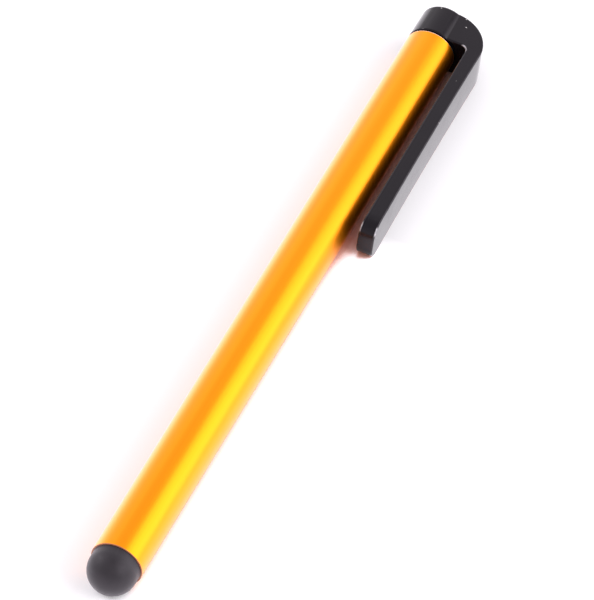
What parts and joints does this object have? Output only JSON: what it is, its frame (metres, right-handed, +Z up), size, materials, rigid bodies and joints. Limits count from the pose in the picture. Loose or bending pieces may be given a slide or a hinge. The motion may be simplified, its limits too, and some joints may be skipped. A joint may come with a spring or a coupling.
{
  "type": "stylus pen",
  "caption": "Slim touch-screen stylus: anodised aluminium tube with a soft rubber dome tip and a black push-in cap that carries a springing pocket clip.",
  "frame": {"origin": "on the table under the middle of the pen's box, with the pen lying on its tube and the lower edge of its clip", "axes": "+X along the pen from the soft tip to the cap, +Z up, the clip on the -Y side"},
  "size_m": [0.1108, 0.0108, 0.007],
  "materials": {
    "anodised_tube": "satin anodised, gold to orange",
    "black_rubber": "matte",
    "black_gloss_plastic": "moulded gloss",
    "holder_plastic": "moulded matte"
  },
  "bodies": {
    "barrel": {"barrel_tube": "anodised_tube", "tip_holder": "holder_plastic", "clip_cap": "black_gloss_plastic"},
    "clip": {"clip_arm": "black_gloss_plastic"},
    "tip": {"rubber_tip": "black_rubber"}
  },
  "joints": [
    {"name": "clip_flex", "type": "hinge", "parent": "barrel", "child": "clip", "pos_m": [0.0491, -0.00515, 0.00292], "axis": [0, -0.0816, 0.9967], "range_deg": [0, 5], "stiffness_Nm_per_rad": 0.84},
    {"name": "tip_press", "type": "slide", "parent": "barrel", "child": "tip", "axis": [1, 0, 0], "range_m": [0, 0.0008], "stiffness_N_per_m": 700}
  ]
}
